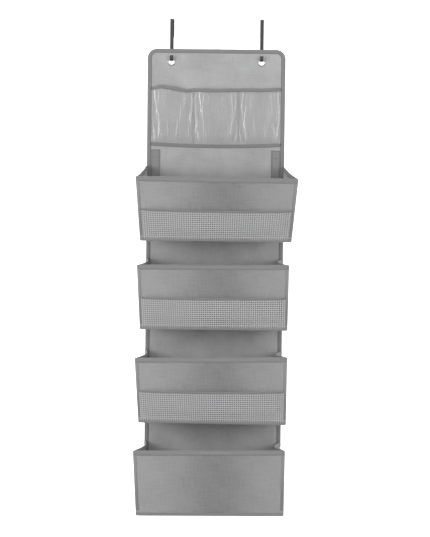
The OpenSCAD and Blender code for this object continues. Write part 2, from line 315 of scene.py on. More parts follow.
def stitches(name, line, normal, material):
    """A row of separate thread stitches that arch over the cloth along a line."""
    points, ahead, at, along = resample(line, STITCH_PITCH)
    up = unit(np.stack([np.interp(at, along, normal[:, k]) for k in range(3)], axis=1))
    side = np.cross(ahead, up)
    turns = np.linspace(0, 2 * math.pi, 6)[:-1]
    rings = []
    for t, lift, r in ((-0.5, -0.25, 0.5), (-0.3, 0.1, 1.0), (0.3, 0.1, 1.0), (0.5, -0.25, 0.5)):
        centre = points + ahead * STITCH_LENGTH * t + up * lift * MM
        ring = [centre + r * THREAD * (side * math.cos(a) + up * math.sin(a)) for a in turns]
        rings.append(np.stack(ring, axis=1))
    body = np.stack(rings, axis=1)
    count, levels, around = body.shape[:3]
    index = np.arange(count * levels * around).reshape(count, levels, around)
    here, after = index[:, :-1], index[:, 1:]
    quads = [here, np.roll(here, -1, axis=2), np.roll(after, -1, axis=2), after]
    faces = list(np.stack([q.ravel() for q in quads], axis=1))
    faces += list(index[:, 0]) + list(index[:, -1])
    return add_piece(name, body.reshape(-1, 3), faces, body.reshape(-1, 3)[:, [0, 2]], material)


def tape_stitches(name, edge, out, normal, width, half, material):
    """Stitches near a tape's inner edge, on both of its faces."""
    inset = edge + out * (TAPE - width + 1.6 * MM)
    height = half + TAPE + 0.1 * MM
    rows = [
        stitches(name + side, inset + normal * sign * height, normal * sign, material)
        for side, sign in (("_near", 1), ("_far", -1))
    ]
    return rows


# ---- Materials ----


def new_material(name, colour, roughness, metallic=0.0):
    """A Principled material and its node tree."""
    material = bpy.data.materials.new(name)
    material.use_nodes = True
    tree = material.node_tree
    shader = tree.nodes["Principled BSDF"]
    shader.inputs["Base Color"].default_value = (*colour, 1)
    shader.inputs["Roughness"].default_value = roughness
    shader.inputs["Metallic"].default_value = metallic
    return material, tree, shader


def add_node(tree, kind, values=None, **settings):
    """A shader node with its settings and its unlinked input values."""
    made = tree.nodes.new(kind)
    for key, value in settings.items():
        setattr(made, key, value)
    for key, value in (values or {}).items():
        made.inputs[key].default_value = value
    return made


def math_node(tree, operation, first, second=None):
    """A Math node; each input is a number or another node's output."""
    made = add_node(tree, "ShaderNodeMath", operation=operation)
    for socket, value in zip(made.inputs, (first, second)):
        if isinstance(value, (int, float)):
            socket.default_value = value
        elif value is not None:
            tree.links.new(value, socket)
    return made.outputs[0]


def surface_uv(tree):
    """The two distances over the surface, in metres."""
    coordinates = add_node(tree, "ShaderNodeTexCoord")
    parts = add_node(tree, "ShaderNodeSeparateXYZ")
    tree.links.new(coordinates.outputs["UV"], parts.inputs[0])
    return coordinates.outputs["UV"], parts.outputs[0], parts.outputs[1]


def threads(tree, distance, pitch):
    """Height of rounded threads that lie side by side at a pitch."""
    turned = math_node(tree, "MULTIPLY", distance, math.pi / pitch)
    return math_node(tree, "ABSOLUTE", math_node(tree, "SINE", turned))


def noise(tree, coordinates, scale, stretch=(1, 1, 1), detail=2.0):
    """Noise over the surface, stretched along one direction."""
    place = add_node(tree, "ShaderNodeMapping", {"Scale": tuple(s * scale for s in stretch)})
    tree.links.new(coordinates, place.inputs["Vector"])
    made = add_node(tree, "ShaderNodeTexNoise", {"Scale": 1.0, "Detail": detail})
    tree.links.new(place.outputs[0], made.inputs["Vector"])
    return made.outputs["Fac"]


def colour_between(tree, factor, dark, light, shader):
    """Links the base colour to a ramp from a dark to a light colour."""
    ramp = add_node(tree, "ShaderNodeMapRange", {"From Min": 0.25, "From Max": 0.75}, clamp=False)
    tree.links.new(factor, ramp.inputs["Value"])
    mix = add_node(tree, "ShaderNodeMix", data_type="RGBA", clamp_factor=False)
    mix.inputs[6].default_value = (*dark, 1)
    mix.inputs[7].default_value = (*light, 1)
    tree.links.new(ramp.outputs[0], mix.inputs[0])
    tree.links.new(mix.outputs[2], shader.inputs["Base Color"])


def bumped(tree, height, shader, distance, strength=0.6):
    """Links the shader's normal to a height in units of a distance."""
    bump = add_node(tree, "ShaderNodeBump", {"Distance": distance, "Strength": strength})
    tree.links.new(height, bump.inputs["Height"])
    tree.links.new(bump.outputs[0], shader.inputs["Normal"])


def woven(
    name,
    grey,
    pitch=(WEAVE_PITCH, WEAVE_PITCH),
    depth=0.12 * MM,
    contrast=0.1,
    sheen=0.25,
    painted_middle_shade=0.0,
    cloudy=0.15,
):
    """Woven cloth: crossing threads, streaks along both sets of threads and broad cloudiness.
    With painted middle shade it is darker in its middle and lighter towards both edges, measured across
    the cloth: painted shade and painted side light of a bowed front."""
    base = (grey, grey, grey * 1.005)
    material, tree, shader = new_material(name, base, 0.8)
    uv, across, up = surface_uv(tree)
    warp = threads(tree, across, pitch[0])
    weft = threads(tree, up, pitch[1])
    height = math_node(tree, "MULTIPLY", math_node(tree, "ADD", warp, weft), 0.5)
    streak_u = noise(tree, uv, 1.0, (30, 330, 1))
    streak_v = noise(tree, uv, 1.0, (330, 30, 1))
    cloud = noise(tree, uv, 18.0, detail=3.0)
    streaks = math_node(tree, "MULTIPLY", math_node(tree, "ADD", streak_u, streak_v), 0.35)
    thread_tone = math_node(tree, "ADD", streaks, math_node(tree, "MULTIPLY", cloud, cloudy))
    tone = math_node(tree, "ADD", thread_tone, math_node(tree, "MULTIPLY", height, 0.2))
    dark = tuple(c * (1 - contrast) for c in base)
    light = tuple(c * (1 + contrast) for c in base)
    # Painted shade: the tone falls towards the middle across the cloth, so the middle reads shaded and
    # both edges read lit.
    if painted_middle_shade:
        place = math_node(tree, "DIVIDE", math_node(tree, "SUBTRACT", across, 0.015), 0.1)
        spread = math_node(tree, "ADD", math_node(tree, "MULTIPLY", place, place), 1.0)
        painted_shade_tone = math_node(tree, "DIVIDE", -painted_middle_shade / (2 * contrast) * 0.5, spread)
        tone = math_node(tree, "ADD", tone, painted_shade_tone)
    colour_between(tree, tone, dark, light, shader)
    bumped(tree, height, shader, depth)
    shader.inputs["Sheen Weight"].default_value = sheen
    shader.inputs["Sheen Roughness"].default_value = 0.5
    shader.inputs["Specular IOR Level"].default_value = 0.3
    return material


def film_material(name):
    """Clear soft film: nearly invisible face on, faintly uneven, and whiter where it turns away, where its
    pale colour shows more as a painted reflection of glancing light.
    """
    material, tree, shader = new_material(name, (0.82, 0.815, 0.815), 0.12)
    # Painted reflection: the film grows more opaque in its pale colour as it turns away from the view, for
    # the glancing reflections on its folds.
    facing = add_node(tree, "ShaderNodeLayerWeight", {"Blend": 0.5})
    painted_glancing_reflection = math_node(tree, "POWER", facing.outputs["Facing"], 1.1)
    alpha = math_node(tree, "ADD", math_node(tree, "MULTIPLY", painted_glancing_reflection, 0.9), 0.16)
    alpha = math_node(tree, "MINIMUM", alpha, 0.55)
    tree.links.new(alpha, shader.inputs["Alpha"])
    uv, _, _ = surface_uv(tree)
    bumped(tree, noise(tree, uv, 25.0), shader, 0.3 * MM, 0.2)
    shader.inputs["IOR"].default_value = 1.5
    return material


def metal_material(name, grey, roughness, bump, metallic=1.0):
    """Metal with fine uneven sheen."""
    material, tree, shader = new_material(name, (grey, grey, grey * 1.01), roughness, metallic)
    coordinates = add_node(tree, "ShaderNodeTexCoord").outputs["Object"]
    grain = noise(tree, coordinates, 900.0, (1, 1, 0.3))
    patch = noise(tree, coordinates, 60.0)
    tone = math_node(tree, "MULTIPLY", math_node(tree, "ADD", grain, patch), 0.5)
    dark = (grey * 0.85, grey * 0.85, grey * 0.86)
    light = (grey * 1.12, grey * 1.12, grey * 1.13)
    colour_between(tree, tone, dark, light, shader)
    rough = add_node(tree, "ShaderNodeMapRange", {"To Min": roughness * 0.8, "To Max": roughness * 1.3})
    tree.links.new(patch, rough.inputs["Value"])
    tree.links.new(rough.outputs[0], shader.inputs["Roughness"])
    bumped(tree, grain, shader, bump, 0.4)
    return material


def floor_material(name):
    """Plain pale floor with a faint unevenness."""
    material, tree, shader = new_material(name, (0.9, 0.9, 0.9), 0.9)
    coordinates = add_node(tree, "ShaderNodeTexCoord").outputs["Object"]
    colour_between(tree, noise(tree, coordinates, 2.0), (0.89,) * 3, (0.91,) * 3, shader)
    return material


def backdrop_material(name):
    """Evenly lit white paper."""
    material, tree, shader = new_material(name, (0.9, 0.9, 0.9), 0.9)
    coordinates = add_node(tree, "ShaderNodeTexCoord").outputs["Object"]
    colour_between(tree, noise(tree, coordinates, 2.0), (0.89,) * 3, (0.91,) * 3, shader)
    shader.inputs["Emission Color"].default_value = (1, 1, 1, 1)
    shader.inputs["Emission Strength"].default_value = 1.0
    return material


PANEL_CLOTH = woven("panel_cloth", 0.275, contrast=0.16, cloudy=0.8)
# The front cloth carries painted shade: darker across its middle, lighter towards its edges.
FRONT_CLOTH = woven("front_cloth", 0.27, (0.9 * MM, 1.4 * MM), 0.2 * MM, 0.16, painted_middle_shade=0.42, cloudy=0.3)
TAPE_CLOTH = woven("tape_cloth", 0.19, (0.7 * MM, 1.2 * MM), 0.1 * MM, 0.08)
THREAD_CLOTH = woven("stitch_thread", 0.11, (0.2 * MM, 0.2 * MM), 0.05 * MM, 0.1)
PATCH_CLOTH = woven("patch_cloth", 0.22, (0.7 * MM, 1.2 * MM), 0.1 * MM, 0.08)
SEAM_CLOTH = woven("seam_thread", 0.33, (0.2 * MM, 0.2 * MM), 0.05 * MM, 0.1)
MESH_CLOTH = woven("mesh_thread", 0.38, (0.5 * MM, 0.5 * MM), 0.1 * MM, 0.08)
BOARD = woven("board", 0.5, (3 * MM, 3 * MM), 0.05 * MM, 0.05, 0.0)
FILM = film_material("clear_film")
STEEL = metal_material("hook_steel", 0.045, 0.42, 0.02 * MM, 0.3)
CHROME = metal_material("eyelet_metal", 0.36, 0.28, 0.01 * MM)


# ---- Camera, light and floor ----


def make_camera():
    """A long lens a little above the middle of the object, at the photograph's angle."""
    azimuth, elevation, roll = (math.radians(a) for a in (0.92, 3.51, 0.63))
    distance = 5.0
    aim = Vector((1.6 * MM, -8.5 * MM, -596.8 * MM))
    back = Vector((
        math.sin(azimuth) * math.cos(elevation),
        -math.cos(azimuth) * math.cos(elevation),
        math.sin(elevation),
    ))
    data = bpy.data.cameras.new("camera")
    data.lens = 139.0
    data.sensor_width = 36.0
    data.clip_end = 100.0
    camera = bpy.data.objects.new("camera", data)
    camera.location = aim + back * distance
    camera.rotation_mode = "QUATERNION"
    turn = (-back).to_track_quat("-Z", "Y")
    camera.rotation_quaternion = turn @ Quaternion((0, 0, 1), roll)
    bpy.context.scene.collection.objects.link(camera)
    bpy.context.scene.camera = camera


def soft_light(name, place, size, power):
    """A square soft light that faces the middle of the object."""
    data = bpy.data.lights.new(name, "AREA")
    data.shape = "SQUARE"
    data.size = size
    data.energy = power
    light = bpy.data.objects.new(name, data)
    light.location = place
    aim = Vector((0, -0.05, -0.6)) - Vector(place)
    light.rotation_mode = "QUATERNION"
    light.rotation_quaternion = aim.to_track_quat("-Z", "Y")
    bpy.context.scene.collection.objects.link(light)


def make_room():
    """White surroundings, soft lights and a pale floor below the hanging object."""
    scene = bpy.context.scene
    scene.view_settings.view_transform = "Standard"
    world = bpy.data.worlds.new("surroundings")
    world.use_nodes = True
    world.node_tree.nodes["Background"].inputs["Color"].default_value = (1, 1, 1, 1)
    world.node_tree.nodes["Background"].inputs["Strength"].default_value = 0.66
    scene.world = world
    soft_light("key_left", (-2.4, -1.7, -0.1), 1.2, 44)
    soft_light("fill_right", (2.4, -1.7, -0.1), 1.2, 32)
    soft_light("front", (0.0, -4.4, -0.4), 1.6, 19)
    soft_light("top", (0.0, -1.6, 2.4), 1.2, 4)
    floor_z = BOTTOM_Z - 1.85
    ground = np.linspace(-30, 30, 9)
    mid = np.array([[[x, y, floor_z] for x in ground] for y in ground])
    floor = cloth("floor", mid, 0.02, floor_material("floor"))
    mid = np.array([[[x, 9.2, z] for x in np.linspace(-9, 9, 9)] for z in np.linspace(floor_z, 6, 9)])
    backdrop = cloth("backdrop", mid, 0.02, backdrop_material("backdrop"))


# ---- Hooks and eyelets ----


def bevelled_copy(node, name, width, material):
    """A CAD node's own shape with small rounded edges."""
    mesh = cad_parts[node].data.copy()
    mesh.materials.clear()
    mesh.materials.append(material)
    bm = bmesh.new()
    bm.from_mesh(mesh)
    bmesh.ops.remove_doubles(bm, verts=bm.verts, dist=1e-6)
    bmesh.ops.dissolve_limit(bm, angle_limit=math.radians(1), verts=bm.verts, edges=bm.edges)
    bm.to_mesh(mesh)
    bm.free()
    mesh.shade_smooth()
    piece = bpy.data.objects.new(name, mesh)
    bpy.context.scene.collection.objects.link(piece)
    bevel = piece.modifiers.new("edges", "BEVEL")
    bevel.width = width
    bevel.segments = 3
    bevel.limit_method = "ANGLE"
    bevel.angle_limit = math.radians(35)
    bevel.harden_normals = True
    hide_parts(node)
    return piece


def make_hook(side):
    """One steel hook."""
    node = f"hook_{side}"
    piece = bevelled_copy(node, f"{node}_strap", 0.35 * MM, STEEL)
    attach(piece, "hooks")


def lathe(name, centre, profile, material):
    """A ring about an axis along Y, from (radius, y) points."""
    turns = np.linspace(0, 2 * math.pi, 65)[:-1]
    rings = np.array([
        [
            [centre[0] + r * math.cos(a), y, centre[2] + r * math.sin(a)]
            for r, y in profile
        ]
        for a in turns
    ])
    return sweep(name, rings, material, closed=True)


def eyelet_profile(inner, outer, face, back, sign):
    """A rolled flange on the cloth: flat at the outside, rounded into the hole."""
    thick = 1.3 * MM
    rise = [(0.0, 0.1), (0.08, 0.55), (0.3, 0.92), (0.55, 1.0), (0.8, 0.82), (0.95, 0.45), (1.0, 0.0)]
    rolled = [(inner + (outer - inner) * t, face - sign * thick * h) for t, h in rise]
    return [(inner, back)] + rolled + [(inner + 1.0 * MM, face), (inner + 1.0 * MM, back)]


def make_eyelets():
    """The chrome eyelets, with their washers behind the panel."""
    inner, outer = 6.0 * MM, 9.4 * MM
    for node, face, sign, depth in (
        ("eyelets", PANEL_LOW[1], 1, 3.2 * MM),
        ("eyelet_washers", PANEL_HIGH[1], -1, -0.6 * MM),
    ):
        low = inner if node == "eyelets" else inner + 0.9 * MM
        rings = [
            lathe(
                f"{node}_{side}",
                (sign_x * EYELET_X, 0, EYELET_Z),
                eyelet_profile(low, outer, face, face + depth, sign),
                CHROME,
            )
            for side, sign_x in SIDES.items()
        ]
        piece = join(f"{node}_rings", rings)
        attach(piece, "panel")
        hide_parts(node)


# ---- Back panel ----


def panel_grid():
    """Middle surface of the panel, narrower towards its round top corners."""
    r = CORNER_R - TAPE
    low, high = BOTTOM_Z + TAPE, TOP_Z - TAPE
    arc = high - r + r * np.sin(np.linspace(0, math.pi / 2, 12)[1:])
    z = np.concatenate([np.linspace(low, high - r, 175), arc])
    inset = np.where(z > high - r, r - np.sqrt(np.clip(r**2 - (z - high + r) ** 2, 0, None)), 0)
    half = HALF_W - TAPE - inset
    a = np.linspace(-1, 1, 57)
    x = a[None, :] * half[:, None]
    return on_panel(x, z[:, None] + 0 * x, -PANEL_HALF_T)


def cut_holes(piece):
    """Opens the panel where the eyelets are."""
    for sign in SIDES.values():
        bpy.ops.mesh.primitive_cylinder_add(
            vertices=48,
            radius=6.6 * MM,
            depth=0.03,
            location=(sign * EYELET_X, PANEL_Y, EYELET_Z),
            rotation=(math.pi / 2, 0, 0),
        )
        cutter = bpy.context.object
        hole = piece.modifiers.new("hole", "BOOLEAN")
        hole.object = cutter
        hole.solver = "EXACT"
        bpy.context.view_layer.objects.active = piece
        bpy.ops.object.modifier_apply(modifier=hole.name)
        bpy.data.objects.remove(cutter)


def panel_edge():
    """(points, outward directions, normals) round the panel, in a closed loop."""
    r = CORNER_R
    z = np.linspace(BOTTOM_Z, TOP_Z - r, 140)
    turn = np.linspace(0, math.pi / 2, 13)[1:-1]
    x_top = np.linspace(-HALF_W + r, HALF_W - r, 40)
    x_low = np.linspace(HALF_W, -HALF_W, 42)[1:-1]
    diagonal = (-1, -1)
    left = [((-HALF_W, v), (-1, 0)) for v in z]
    left[0] = ((-HALF_W, BOTTOM_Z), diagonal)
    corner_left = [
        ((-HALF_W + r - r * math.cos(t), TOP_Z - r + r * math.sin(t)), (-math.cos(t), math.sin(t)))
        for t in turn
    ]
    top = [((v, TOP_Z), (0, 1)) for v in x_top]
    corner_right = [((-p[0], p[1]), (-o[0], o[1])) for p, o in reversed(corner_left)]
    right = [((-p[0], p[1]), (-o[0], o[1])) for p, o in reversed(left)]
    foot = [((v, BOTTOM_Z), (0, -1)) for v in x_low]
    both = left + corner_left + top + corner_right + right + foot
    place = np.array([p for p, _ in both])
    out = np.array([[o[0], 0, o[1]] for _, o in both], float)
    points = on_panel(place[:, 0], place[:, 1], -PANEL_HALF_T)
    normal = np.tile([0.0, -1.0, 0.0], (len(points), 1))
    return points - out * TAPE, out, normal


def make_patches():
    """The two sewn patches beside the top pocket's sides, with their stitches."""
    low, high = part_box("side_patches")
    width = PATCH_W
    patches, rows = [], []
    for name, x in (("left", low[0]), ("right", high[0] - width)):
        across, up = np.meshgrid(np.linspace(x, x + width, 12), np.linspace(low[2], high[2], 40))
        mid = on_panel(across, up, TAPE)
        patches.append(cloth(f"patch_{name}", mid, TAPE, PATCH_CLOTH))
        for side in ("left", "right", "top", "foot"):
            edge, out, normal = grid_edge(mid, side)
            line = edge - out * 1.8 * MM + normal * 0.4 * MM
            rows.append(stitches(f"patch_row_{name}_{side}", line, normal, THREAD_CLOTH))
        bar_normal = grid_normals(mid)[PATCH_BAR]
        bar = mid[PATCH_BAR] + bar_normal * 0.4 * MM
        rows.append(stitches(f"patch_row_{name}_bar", bar, bar_normal, THREAD_CLOTH))
    patch = join("side_patch_cloth", patches)
    thread = join("side_patch_stitches", rows)
    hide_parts("side_patches")
    for piece in (patch, thread):
        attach(piece, "panel")
    return [patch, thread]


def make_panel():
    """The fabric panel with its bound edge, patches and stitches, and the holes for its eyelets."""
    panel = cloth("back_panel_cloth", panel_grid(), 2 * PANEL_HALF_T, PANEL_CLOTH)
    cut_holes(panel)
    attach(panel, "panel")
    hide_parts("back_panel")
    edge, out, normal = panel_edge()
    tape = tape_along(
        "panel_edge_tape", edge, out, normal, PANEL_TAPE_W, PANEL_HALF_T, TAPE_CLOTH, 0.5 * MM, True
    )
    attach(tape, "panel")
    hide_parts("panel_binding")
    loop = [np.concatenate([a, a[:1]]) for a in (edge, out, normal)]
    rows = tape_stitches("panel_stitch", *loop, PANEL_TAPE_W, PANEL_HALF_T, THREAD_CLOTH)
    thread = join("panel_stitches", rows)
    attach(thread, "panel")
    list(make_patches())


# ---- Clear pockets ----

FILM_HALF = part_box("clear_pocket_sheet")[1][0]
FILM_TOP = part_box("clear_pocket_top_binding")[1][2]
FILM_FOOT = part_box("clear_pocket_foot_binding")[0][2]
FILM_SEAMS = (-FILM_HALF, -0.054, 0.054, FILM_HALF)
FILM_TAPE_H = 8 * MM
FILM_FOOT_H = 8 * MM


# Pleats beside each seam, in millimetres: distance from the seam, width, height
FILM_PLEATS = (
    (6, 1.6, 2.4),
    (11, 1.5, 1.7),
    (18, 2.2, 1.8),
    (24, 1.3, 1.7),
    (31, 1.5, 1.4),
    (39, 1.3, 1.5),
    (47, 1.6, 1.2),
)


def film_top(x):
    """Height of the clear sheet's top edge, which the taped mouths pull up and down."""
    at = [-0.155, -0.135, -0.105, -0.072, -0.054, 0.0, 0.054, 0.11, 0.155]
    off = [1.0, 6.0, 2.0, -4.0, -1.5, -2.8, -0.6, -1.0, 1.5]
    return FILM_TOP + np.interp(x, at, off) * MM


def film_foot(x):
    """Height of the clear sheet's foot, which sags between its ends."""
    return FILM_FOOT - 4.5 * MM * (1 - (x / FILM_HALF) ** 2)


def film_height(x, v):
    """How far the clear sheet stands off the panel: bulges, with pleats beside each seam."""
    seams = np.array(FILM_SEAMS)
    distance = np.min(np.abs(x[..., None] - seams), axis=-1)
    free = smooth(v, 0.02, 0.2)
    bulge = 4.5 * MM * smooth(distance, 0.0, 0.03) * free
    pleats = 0
    for k, (at, width, tall) in enumerate(FILM_PLEATS):
        wander = 2.0 * MM * np.sin(9 * v + 2.1 * k + x * 40)
        strength = 0.55 + 0.45 * np.sin(5 * v + 1.9 * k + x * 31)
        pleats = pleats + tall * MM * strength * hump(distance, at * MM + wander, width * MM)
    fade = smooth(v, 0.03, 0.15) * (1 - 0.75 * smooth(v, 0.86, 1.0))
    return 0.5 * MM + bulge + pleats * fade + 0.35 * MM * ripple(x, v * 0.13, 0.05, 1.3) * free


def film_grid():
    """Middle surface of the clear sheet."""
    x = np.linspace(-FILM_HALF, FILM_HALF, 261)
    v = np.linspace(0, 1, 40)
    grid_x, grid_v = np.meshgrid(x, v)
    low, high = film_foot(grid_x) + 1 * MM, film_top(grid_x) - 1 * MM
    return on_panel(grid_x, low + (high - low) * grid_v, film_height(grid_x, grid_v))


def film_edge(top):
    """(points, outward directions, normals) along the clear sheet's taped top or foot."""
    x = np.linspace(-FILM_HALF, FILM_HALF, 105)
    z = film_top(x) if top else film_foot(x)
    distance = np.min(np.abs(x[:, None] - np.array(FILM_SEAMS)), axis=1)
    lift = 1.2 * MM + (4.4 * MM * smooth(distance, 0.0, 0.03) if top else 0 * x)
    out = np.tile([0.0, 0.0, 1.0 if top else -1.0], (len(x), 1))
    normal = np.tile([0.0, -1.0, 0.0], (len(x), 1))
    return on_panel(x, z, lift), out, normal


def seam_lines():
    """Rows of stitches down the two seams that divide the clear sheet."""
    rows = []
    for k, x in enumerate(FILM_SEAMS[1:3]):
        for side in (-1, 1):
            at = np.full(30, x + side * 0.8 * MM)
            z = np.linspace(film_foot(x), film_top(x), 30)
            over_tape = smooth(z, film_top(x) - 12 * MM, film_top(x) - 8 * MM)
            line = on_panel(at, z, 1.9 * MM + 0.8 * MM * over_tape)
            normal = np.tile([0.0, -1.0, 0.0], (30, 1))
            rows.append(stitches(f"seam_{k}_{side}", line, normal, SEAM_CLOTH))
    return rows


def make_clear_pockets():
    """The clear sheet, its two tapes and its seams."""
    film = cloth("clear_sheet", film_grid(), 0.3 * MM, FILM)
    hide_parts("clear_pocket_sheet")
    pieces = []
    rows = seam_lines()
    for part, top, width in (("top", True, FILM_TAPE_H), ("foot", False, FILM_FOOT_H)):
        edge, out, normal = film_edge(top)
        tape = tape_along(f"clear_{part}_tape", edge, out, normal, width, 0.4 * MM, TAPE_CLOTH)
        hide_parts(f"clear_pocket_{part}_binding")
        rows += tape_stitches(f"clear_{part}", edge, out, normal, width, 0.4 * MM, THREAD_CLOTH)
        pieces.append(tape)
    thread = join("clear_stitches", rows)
    pieces.append(thread)
    for piece in [film, *pieces]:
        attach(piece, "panel")


# ---- Deep pockets ----


def front_corners(n):
    """Inner corners of a front: foot left, foot right, top left, top right."""
    node = f"pocket_{n}_front"
    return [corner(node, sx, 1, sz) for sx, sz in ((-1, -1), (1, -1), (-1, 1), (1, 1))]


# How each front hangs askew, in millimetres: (aside, up) of its foot left, foot right, rim left, rim right
SWAY = {
    1: ((3.0, 0.0), (6.0, 0.0), (4.7, -4.3), (7.6, -6.6)),
    2: ((0.0, 2.5), (3.3, 3.0), (-3.3, -1.6), (0.8, 1.6)),
    3: ((-1.6, 3.0), (2.5, 1.0), (-6.6, 0.0), (-0.8, 5.7)),
    4: ((-5.7, 2.4), (0.0, 5.7), (-9.0, 1.6), (-3.3, 6.5)),
}


def sway(n, a, s):
    """How far a front has swung aside and up from its even place."""
    a, s = np.broadcast_arrays(np.asarray(a, float), np.asarray(s, float))
    t = ((a + 1) / 2)[..., None]
    up = s[..., None]
    foot_left, foot_right, top_left, top_right = (np.array([x, 0, z]) * MM for x, z in SWAY[n])
    return (foot_left * (1 - t) + foot_right * t) * (1 - up) + (top_left * (1 - t) + top_right * t) * up


def front_point(n, a, s, off):
    """Points on a front: a across from -1 to 1, s up from 0 to 1, off outwards from its inner face."""
    foot_left, foot_right, top_left, top_right = front_corners(n)
    t = (np.asarray(a, float) + 1)[..., None] / 2
    up = np.asarray(s, float)[..., None]
    foot = foot_left + (foot_right - foot_left) * t
    top = top_left + (top_right - top_left) * t
    normal = unit(np.cross(foot_right - foot_left, top_left - foot_left))
    out = np.asarray(off)[..., None] + front_relief(n, a, s)[..., None]
    return foot + (top - foot) * up + normal * out + sway(n, a, s)


def front_relief(n, a, s):
    """How far a front bows out of its flat plane, with puckers beside its seams."""
    a, s = np.broadcast_arrays(np.asarray(a, float), np.asarray(s, float))
    bow = 6.0 * MM * (1 - a**2) * np.sin(np.pi * np.clip(s, 0, 1)) ** 0.6
    bow = bow - 2.0 * MM * np.abs(a) ** 14
    uneven = 0.55 * MM * ripple(a * 0.17, s * 0.155, 0.09, 0.9 + 0.37 * n)
    pucker = 0.22 * MM * ripple(a * 0.17, s * 0.03, 0.022, 2.1 + n)
    near_seam = hump(s, 0.9, 0.07) + hump(s, 0.07, 0.05)
    return bow + uneven * np.sin(np.pi * np.clip(s, 0, 1)) + pucker * near_seam


FRONT_T = 2.6 * MM
SKIN = 0.7 * MM
BOARD_MARGIN = 0.06
RIM_TAPE = 11 * MM
FOOT_TAPE = 8 * MM
CORNER_TAPE = 8 * MM
BOTTOM_T = 1.6 * MM
SIDE_T = 1.2 * MM


def front_grid(n, off=FRONT_T / 2, a_limit=1.0, s_low=0.0, s_high=1.0):
    """Middle surface of a front, or of a layer inside it."""
    a = np.linspace(-a_limit, a_limit, 81)
    s = np.linspace(s_low, s_high, 37)
    grid_a, grid_s = np.meshgrid(a, s)
    return front_point(n, grid_a, grid_s, np.full(grid_a.shape, off))


def make_front(n):
    """One fabric front with its board, its tapes and their stitches."""
    body = f"front_{n}"
    grid = front_grid(n)
    front = cloth(f"pocket_{n}_front_cloth", grid, FRONT_T, FRONT_CLOTH)
    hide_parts(f"pocket_{n}_front")
    inside = front_grid(n, FRONT_T / 2, 1 - BOARD_MARGIN, BOARD_MARGIN, 1 - BOARD_MARGIN)
    board = cloth(f"pocket_{n}_board", inside, FRONT_T - 2 * SKIN, BOARD)
    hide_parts(f"pocket_{n}_front_board")
    pieces = [board]
    rows = []
    inner = grid[3:-3]
    for part, sides, width, cut in (
        ("rim", ("top",), RIM_TAPE, grid),
        ("foot", ("foot",), FOOT_TAPE, grid),
        ("corner", ("left", "right"), CORNER_TAPE, inner),
    ):
        node = f"pocket_{n}_corner_bindings" if part == "corner" else f"pocket_{n}_{part}_binding"
        material = FRONT_CLOTH if part == "corner" else TAPE_CLOTH
        tapes = [
            edge_tape(f"pocket_{n}_{part}_{side}", cut, side, width, FRONT_T / 2, material)
            for side in sides
        ]
        tape = join(f"pocket_{n}_{part}_tape", tapes)
        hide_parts(node)
        pieces.append(tape)
        for side in sides:
            edge, out, normal = grid_edge(cut, side)
            rows += tape_stitches(f"row_{n}_{side}", edge, out, normal, width, FRONT_T / 2, THREAD_CLOTH)
    thread = join(f"pocket_{n}_front_stitches", rows)
    pieces.append(thread)
    for piece in [front, *pieces]:
        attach(piece, body)


def side_fold(n, side, u, v):
    """How far a pocket's side folds inwards: u from the panel to the front, v up from 0 to 1."""
    deep = 1 * MM if n == 1 else (17 * MM if side > 0 else 11 * MM)
    near_panel = np.sin(np.pi * np.clip(u, 0, 1) ** 0.75) ** 1.3
    crease = 1.5 * MM * ripple(u * 0.12, v * 0.15, 0.06, 1.1 * n + side)
    return (deep * v**1.5 * near_panel) + crease * np.sin(np.pi * np.clip(u, 0, 1)) * smooth(v, 0, 0.15)


def gusset_grid(n, side):
    """Middle surface of one side of a pocket."""
    node = f"pocket_{n}_{'left' if side < 0 else 'right'}_gusset"
    tape_node = f"pocket_{n}_gusset_bindings"
    back_low = corner(node, side * 0.01, 1, -1)
    front_low = corner(node, side * 0.01, -1, -1)
    back_high = corner(tape_node, side * 0.3, 1, 1)
    front_high = corner(tape_node, side * 0.3, -1, 1)
    u = np.linspace(0, 1, 41)
    v = np.linspace(0, 1, 33)
    grid_u, grid_v = np.meshgrid(u, v)
    t, w = grid_u[..., None], grid_v[..., None]
    low = back_low + (front_low - back_low) * t
    high = back_high + (front_high - back_high) * t
    points = low + (high - low) * w
    points[..., 0] -= side * (SIDE_T + side_fold(n, side, grid_u, grid_v))
    points[..., 2] -= 2.0 * MM * np.sin(np.pi * grid_u) * smooth(grid_v, 0.7, 1.0)
    relief = panel_relief(points[:, 0, 0], points[:, 0, 2])
    points[..., 1] -= relief[:, None] * (1 - smooth(grid_u, 0, 0.3))
    points += sway(n, np.full(grid_u.shape, side), grid_v) * smooth(grid_u, 0, 1)[..., None]
    return points if side > 0 else points[:, ::-1]


def bottom_grid(n):
    """Middle surface of a pocket's bottom, which sags a little."""
    node = f"pocket_{n}_bottom"
    back_left, back_right = corner(node, -1, 10, 0), corner(node, 1, 10, 0)
    front_left, front_right = corner(node, -1, -10, 0), corner(node, 1, -10, 0)
    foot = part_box(node)[0][2]
    t = np.linspace(0, 1, 57)[None, :, None]
    u = np.linspace(0, 1, 25)[:, None, None]
    back = back_left + (back_right - back_left) * t
    front = front_left + (front_right - front_left) * t
    points = (1 - u) * back + u * front
    low_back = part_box(node)[1][2] - BOTTOM_T
    z = low_back + (foot - low_back) * u[..., 0] + BOTTOM_T / 2
    grid_t, grid_u = np.meshgrid(t[0, :, 0], u[:, 0, 0])
    sag = np.sin(np.pi * grid_t) * np.sin(np.pi * grid_u)
    points[..., 2] = z + (1.0 * MM * ripple(grid_t * 0.34, grid_u * 0.12, 0.08, 0.5 * n) - 1.0 * MM) * sag
    points += sway(n, 2 * grid_t - 1, 0 * grid_t) * smooth(grid_u, 0, 1)[..., None]
    return points[::-1]


def blend_to_front(piece):
    """Bakes a piece's placement into its own points."""
    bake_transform(piece)


